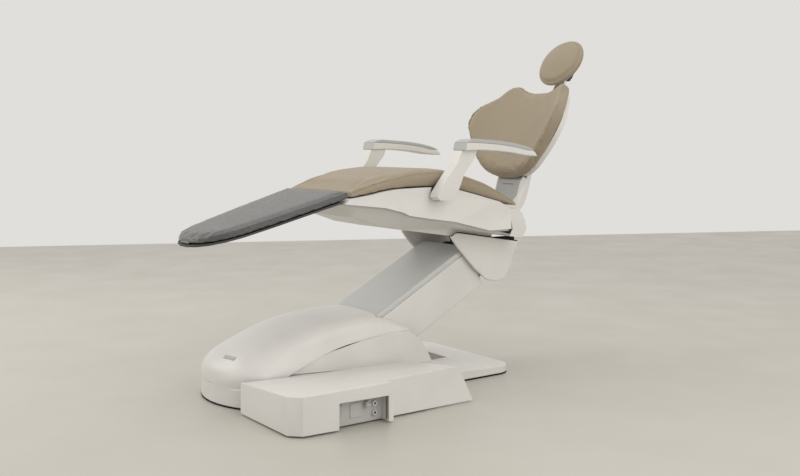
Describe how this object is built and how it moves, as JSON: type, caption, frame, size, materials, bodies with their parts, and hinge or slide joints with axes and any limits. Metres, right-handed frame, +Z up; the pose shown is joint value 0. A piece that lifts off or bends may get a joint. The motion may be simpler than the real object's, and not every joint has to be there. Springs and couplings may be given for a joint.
{
  "type": "dental chair",
  "caption": "Powered dental treatment chair with a floor base and utility box, a lifting arm, a tilting seat with leg rest, folding armrests, a reclining back and a sliding, tilting headrest.",
  "frame": {"origin": "on the floor, at the centre of the four anchor holes of the base plate", "axes": "+Z up, -X towards the feet, +X towards the head, -Y the side of the utility box (the patient's left)"},
  "size_m": [1.7923, 0.872, 1.2955],
  "materials": {
    "white_shell": "satin",
    "upholstery": "matte",
    "grey_trim": "satin",
    "dark_plastic": "matte",
    "seal_rubber": "matte",
    "frame_steel": "satin",
    "pin_steel": "satin",
    "cast_aluminium": "satin",
    "plated_fitting": "polished",
    "board": "matte"
  },
  "bodies": {
    "base": {"floor_gasket": "seal_rubber", "base_plate": "frame_steel", "base_cover": "white_shell", "cowl_hood": "white_shell", "cowl_side_panel_left": "white_shell", "cowl_side_panel_right": "white_shell", "utility_box": "white_shell", "utility_panel": "grey_trim", "hose_couplings": "plated_fitting", "socket_cover": "grey_trim", "power_supply": "dark_plastic", "base_frame": "frame_steel", "lift_pivot_pin": "pin_steel", "link_pivot_pin": "pin_steel", "motor_pivot_pin": "pin_steel"},
    "mains_switch": {"mains_switch": "dark_plastic"},
    "shutoff_valve": {"shutoff_valve": "dark_plastic"},
    "lift_arm": {"lift_arm_frame": "frame_steel", "crank_pin": "pin_steel", "lift_arm_cover_top": "white_shell", "lift_arm_cover_bottom": "white_shell"},
    "parallel_link": {"parallel_link": "frame_steel"},
    "lift_motor": {"lift_motor": "cast_aluminium"},
    "lift_spindle": {"lift_spindle": "pin_steel"},
    "carriage": {"carriage_frame": "frame_steel", "upper_pivot_pin": "pin_steel", "upper_link_pin": "pin_steel", "carriage_cover_left": "white_shell", "carriage_cover_right": "white_shell"},
    "seat": {"seat_cushion": "upholstery", "seat_base_upper": "white_shell", "seat_base_lower": "white_shell", "rear_housing": "white_shell", "seat_frame": "frame_steel", "tilt_pivot_pin": "pin_steel", "recline_gearmotor": "dark_plastic", "foot_cushion": "upholstery", "leg_board": "board", "armrest_socket_left": "dark_plastic", "armrest_socket_right": "dark_plastic"},
    "armrest_left": {"armrest_post_left": "white_shell", "armrest_arm_left": "white_shell", "armrest_pad_left": "grey_trim"},
    "armrest_right": {"armrest_post_right": "white_shell", "armrest_arm_right": "white_shell", "armrest_pad_right": "grey_trim"},
    "back": {"back_cushion": "upholstery", "back_shell": "white_shell", "back_column": "cast_aluminium", "back_column_cover": "white_shell", "back_hinge_pin": "pin_steel", "headrest_guide": "dark_plastic"},
    "headrest_bar": {"headrest_bar": "plated_fitting", "headrest_knuckle": "dark_plastic", "headrest_pivot_pin": "pin_steel"},
    "headrest": {"headrest_cushion": "upholstery", "headrest_shell": "dark_plastic"},
    "headrest_lever": {"headrest_lever": "dark_plastic"}
  },
  "joints": [
    {"name": "switch_rock", "type": "hinge", "parent": "base", "child": "mains_switch", "pos_m": [-0.375, -0.5, 0.052], "axis": [1, 0, 0], "range_deg": [-6, 6]},
    {"name": "valve_turn", "type": "hinge", "parent": "base", "child": "shutoff_valve", "pos_m": [-0.279, -0.504, 0.06], "axis": [0, -1, 0], "range_deg": [0, 90]},
    {"name": "lift", "type": "hinge", "parent": "base", "child": "lift_arm", "pos_m": [-0.06, 0, 0.105], "axis": [0, -1, 0], "range_deg": [-22, 2]},
    {"name": "link_pivot", "type": "hinge", "parent": "base", "child": "parallel_link", "pos_m": [-0.06, 0, 0.047], "axis": [0, -1, 0], "range_deg": [-23, 3]},
    {"name": "carriage_pivot", "type": "hinge", "parent": "lift_arm", "child": "carriage", "pos_m": [0.51956, 0, 0.41446], "axis": [0, -1, 0], "range_deg": [-3, 23]},
    {"name": "motor_pivot", "type": "hinge", "parent": "base", "child": "lift_motor", "pos_m": [-0.43, 0, 0.112], "axis": [0, -1, 0], "range_deg": [-2, 2]},
    {"name": "spindle_slide", "type": "slide", "parent": "lift_motor", "child": "lift_spindle", "axis": [0.9601, 0, 0.2796], "range_m": [-0.02, 0.046]},
    {"name": "seat_tilt", "type": "hinge", "parent": "carriage", "child": "seat", "pos_m": [0.55956, 0, 0.46846], "axis": [0, 1, 0], "range_deg": [0, 8]},
    {"name": "recline", "type": "hinge", "parent": "seat", "child": "back", "pos_m": [0.57506, 0, 0.54495], "axis": [0, 1, 0], "range_deg": [-12, 55]},
    {"name": "armrest_left_swing", "type": "hinge", "parent": "seat", "child": "armrest_left", "pos_m": [0.20006, -0.26, 0.66995], "axis": [0, 1, 0], "range_deg": [0, 45]},
    {"name": "armrest_right_swing", "type": "hinge", "parent": "seat", "child": "armrest_right", "pos_m": [0.20006, 0.26, 0.66995], "axis": [0, 1, 0], "range_deg": [0, 45]},
    {"name": "headrest_height", "type": "slide", "parent": "back", "child": "headrest_bar", "axis": [0.5373, 0, 0.8434], "range_m": [0, 0.11]},
    {"name": "headrest_tilt", "type": "hinge", "parent": "headrest_bar", "child": "headrest", "pos_m": [1.11201, 0, 1.15143], "axis": [0, 1, 0], "range_deg": [-10, 35]},
    {"name": "lever_turn", "type": "hinge", "parent": "headrest_bar", "child": "headrest_lever", "pos_m": [1.11201, 0.03, 1.15143], "axis": [0, 1, 0], "range_deg": [-60, 0]}
  ],
  "couplings": [
    {"joint": "link_pivot", "follows": "lift", "ratio": 1},
    {"joint": "carriage_pivot", "follows": "lift", "ratio": -1},
    {"joint": "motor_pivot", "follows": "lift", "ratio": -0.006},
    {"joint": "spindle_slide", "follows": "lift", "m_per_rad": -0.111}
  ]
}
